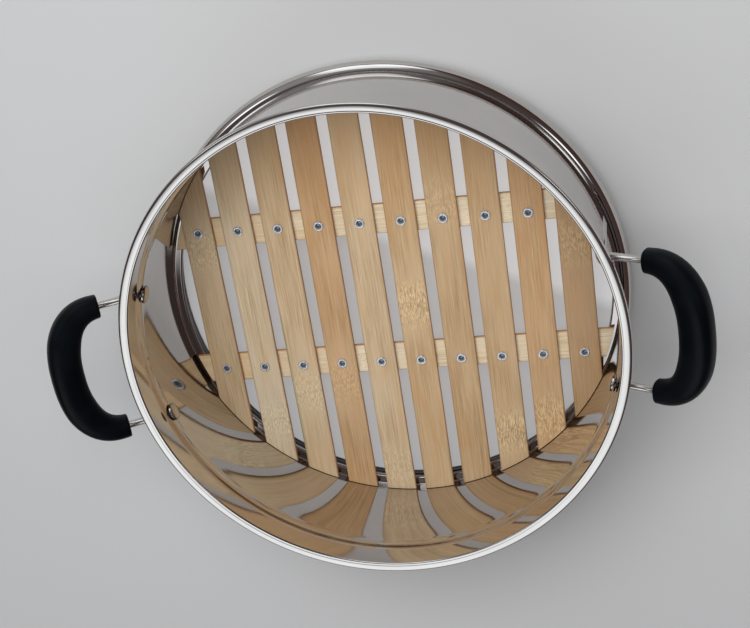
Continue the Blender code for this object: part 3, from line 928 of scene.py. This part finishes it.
def grip_shell(frames, halves):
    """Frames and (half sizes, shrink) pairs of the grip's outside, with both ends rounded over."""
    rounding = []
    for i in range(GRIP_EDGE_STEPS):
        angle = math.pi / 2 * i / GRIP_EDGE_STEPS
        rounding.append((GRIP_EDGE_R * (1 - math.cos(angle)), GRIP_EDGE_R * (1 - math.sin(angle))))

    def end_rows(frame, half):
        origin, across, up = frame
        return [
            ((origin + handle_direction() * distance, across, up), (half, shrink))
            for distance, shrink in rounding
        ]

    rows = end_rows(frames[0], halves[0])
    rows += [(frame, (half, 0.0)) for frame, half in zip(frames[1:-1], halves[1:-1])]
    rows += reversed(end_rows(frames[-1], halves[-1]))
    return [frame for frame, _ in rows], [size for _, size in rows]


def add_grips():
    finish = grip_material()
    for side, turn in HANDLE_TURNS.items():
        points = grip_points(GRIP_STEPS)
        frames = path_frames(points)
        shell_frames, shell_sizes = grip_shell(frames, [grip_half_sizes(point.y) for point in points])
        body = bmesh.new()
        shell = swept_rings(body, shell_frames, lambda i: grip_section(*shell_sizes[i]))
        tunnel_r = WIRE_R + WIRE_CLEARANCE
        tunnel_section = superellipse(tunnel_r, tunnel_r, 2.0, GRIP_SIDES)
        tunnel = swept_rings(body, frames, lambda i: tunnel_section)
        bridge(body, shell[0], tunnel[0])
        bridge(body, shell[-1], tunnel[-1])
        grip = add_object(f"handle_grip_{side}_plastic", body, finish)
        grip.rotation_euler.z = turn
        install(grip, "tier", "grip_plastic", f"handle_grip_{side}")


# ---------------------------------------------------------------- floor, light and camera

FLOOR_HALF = 12.0
FLOOR_DARK = (0.535, 0.54, 0.54)
FLOOR_LIGHT = (0.565, 0.57, 0.57)
TABLE_R = WALL_R - 0.0013
TABLE_HEIGHT = 0.0004
TABLE_TONE = (0.3, 0.3, 0.3, 1.0)
TABLE_GLOW = (1.0, 1.0, 1.02, 1.0)
GLOW_NEAR = 0.30
GLOW_FAR = 0.44
# The line y = offset - lean * x across the table, where the near glow gives way to the far one
GLOW_LINE_LEAN = 0.408
GLOW_LINE_NEAR = -0.022
GLOW_LINE_FAR = -0.031
KEY_AIM = Vector((0.0, 0.0, 0.03))
KEY_AT = Vector((0.03, -0.72, 1.42))
KEY_SIZE = (1.2, 1.0)
KEY_POWER = 20.6
CAMERA_AT = Vector((-0.1951, -0.3772, 0.8968))
CAMERA_LOOK = Vector((0.2125, 0.3992, -0.8919))
CAMERA_UP = Vector((-0.0700, -0.9042, -0.4214))
CAMERA_LENS = 72.0
CAMERA_SENSOR = 36.0
CAMERA_CLIP = 0.01


def add_floor():
    """Pale floor, with a round light table under the tier so the gaps between the slats read pale."""
    shader = Shader("pale_floor", 0.6)
    mottle = shader.noise(shader.stretched((2.5, 2.5, 2.5)))
    shader.set("Base Color", shader.mixed(mottle, FLOOR_DARK, FLOOR_LIGHT))
    body = bmesh.new()
    bmesh.ops.create_grid(body, x_segments=8, y_segments=8, size=FLOOR_HALF)
    floor = add_object("floor", body, shader.material)
    glow = Shader("light_table", 0.6)
    glow.set("Base Color", TABLE_TONE)
    glow.set("Emission Color", TABLE_GLOW)
    x, y, _ = glow.axes(glow.place.outputs["Object"])
    offset = glow.math("MULTIPLY_ADD", x, GLOW_LINE_LEAN, y)
    glow.set("Emission Strength", glow.ranged(offset, GLOW_LINE_NEAR, GLOW_LINE_FAR, GLOW_NEAR, GLOW_FAR))
    disc = bmesh.new()
    bmesh.ops.create_circle(disc, cap_ends=True, segments=96, radius=TABLE_R)
    bmesh.ops.translate(disc, verts=disc.verts, vec=(0.0, 0.0, TABLE_HEIGHT))
    table = add_object("light_table", disc, glow.material)


# Glows of the studio: azimuth, elevation, inner and outer radius in degrees, and strength
GLOWS = (
    (68, 48, 14, 29, 1.34),
    (-75, 20, 5, 17, 1.7),
    (-89, 20, 5, 17, 1.7),
    (-77, 38, 6, 17, 1.3),
    (-168, 58, 3, 10, 2.0),
    (-27, 48, 3, 10, 2.0),
    (-62, 32, 8, 50, 0.28),
)
GLOW_TINT = (0.94, 1.0, 1.05)
ROOM_LOW = (0.078, 0.044, 0.038, 1.0)
ROOM_HIGH = (0.085, 0.072, 0.072, 1.0)
ROOM_LOW_END = 0.35
BACKDROP = (0.46, 0.46, 0.465, 1.0)


def glow_strength(tree, direction, azimuth, elevation, inner, outer, strength):
    """A soft round patch of light in one direction of the world."""
    turn, lift = math.radians(azimuth), math.radians(elevation)
    aim = tree.nodes.new("ShaderNodeVectorMath")
    aim.operation = "DOT_PRODUCT"
    tree.links.new(direction, aim.inputs[0])
    aim.inputs[1].default_value = (
        math.cos(turn) * math.cos(lift), math.sin(turn) * math.cos(lift), math.sin(lift))
    soft = tree.nodes.new("ShaderNodeMapRange")
    soft.interpolation_type = "SMOOTHSTEP"
    soft.inputs["From Min"].default_value = math.cos(math.radians(outer))
    soft.inputs["From Max"].default_value = math.cos(math.radians(inner))
    soft.inputs["To Max"].default_value = strength
    tree.links.new(aim.outputs["Value"], soft.inputs["Value"])
    return soft.outputs[0]


def add_world():
    """A dim warm room lit by soft windows, which the steel's gloss shows, with a plain pale backdrop."""
    world = bpy.data.worlds.new("studio")
    bpy.context.scene.world = world
    world.use_nodes = True
    tree = world.node_tree
    direction = tree.nodes.new("ShaderNodeTexCoord").outputs["Generated"]
    split = tree.nodes.new("ShaderNodeSeparateXYZ")
    tree.links.new(direction, split.inputs[0])
    room = tree.nodes.new("ShaderNodeValToRGB")
    room.color_ramp.elements[0].color = ROOM_LOW
    room.color_ramp.elements[0].position = ROOM_LOW_END
    room.color_ramp.elements[1].color = ROOM_HIGH
    tree.links.new(split.outputs["Z"], room.inputs[0])
    strongest, *others = [glow_strength(tree, direction, *glow) for glow in GLOWS]
    for strength in others:
        larger = tree.nodes.new("ShaderNodeMath")
        larger.operation = "MAXIMUM"
        tree.links.new(strongest, larger.inputs[0])
        tree.links.new(strength, larger.inputs[1])
        strongest = larger.outputs[0]
    tinted = tree.nodes.new("ShaderNodeVectorMath")
    tinted.operation = "SCALE"
    tinted.inputs[0].default_value = GLOW_TINT
    tree.links.new(strongest, tinted.inputs["Scale"])
    lit = tree.nodes.new("ShaderNodeMix")
    lit.data_type = "RGBA"
    lit.blend_type = "ADD"
    lit.inputs[0].default_value = 1.0
    tree.links.new(room.outputs[0], lit.inputs[6])
    tree.links.new(tinted.outputs[0], lit.inputs[7])
    seen = tree.nodes.new("ShaderNodeMix")
    seen.data_type = "RGBA"
    seen.inputs[7].default_value = BACKDROP
    path = tree.nodes.new("ShaderNodeLightPath")
    tree.links.new(path.outputs["Is Camera Ray"], seen.inputs[0])
    tree.links.new(lit.outputs[2], seen.inputs[6])
    tree.links.new(seen.outputs[2], tree.nodes["Background"].inputs["Color"])


def add_key():
    """Large softbox above the tier, towards the top of the view, which the gloss does not show."""
    data = bpy.data.lights.new("key_softbox", "AREA")
    data.shape = "RECTANGLE"
    data.size, data.size_y = KEY_SIZE
    data.energy = KEY_POWER
    light = bpy.data.objects.new("key_softbox", data)
    bpy.context.scene.collection.objects.link(light)
    light.location = KEY_AT
    light.rotation_euler = (KEY_AIM - KEY_AT).to_track_quat("-Z", "Y").to_euler()
    light.visible_glossy = False


def add_camera():
    data = bpy.data.cameras.new("camera")
    data.lens = CAMERA_LENS
    data.sensor_width = CAMERA_SENSOR
    data.clip_start = CAMERA_CLIP
    camera = bpy.data.objects.new("camera", data)
    bpy.context.scene.collection.objects.link(camera)
    look = CAMERA_LOOK.normalized()
    right = look.cross(CAMERA_UP).normalized()
    up = right.cross(look)
    turn = Matrix((right, up, -look)).transposed().to_4x4()
    camera.matrix_world = Matrix.Translation(CAMERA_AT) @ turn
    bpy.context.scene.camera = camera


add_camera()
add_floor()
add_world()
add_key()
add_ring()
add_slats()
add_battens()
add_rivets()
add_wires()
add_grips()
bpy.context.scene.view_settings.view_transform = "Standard"
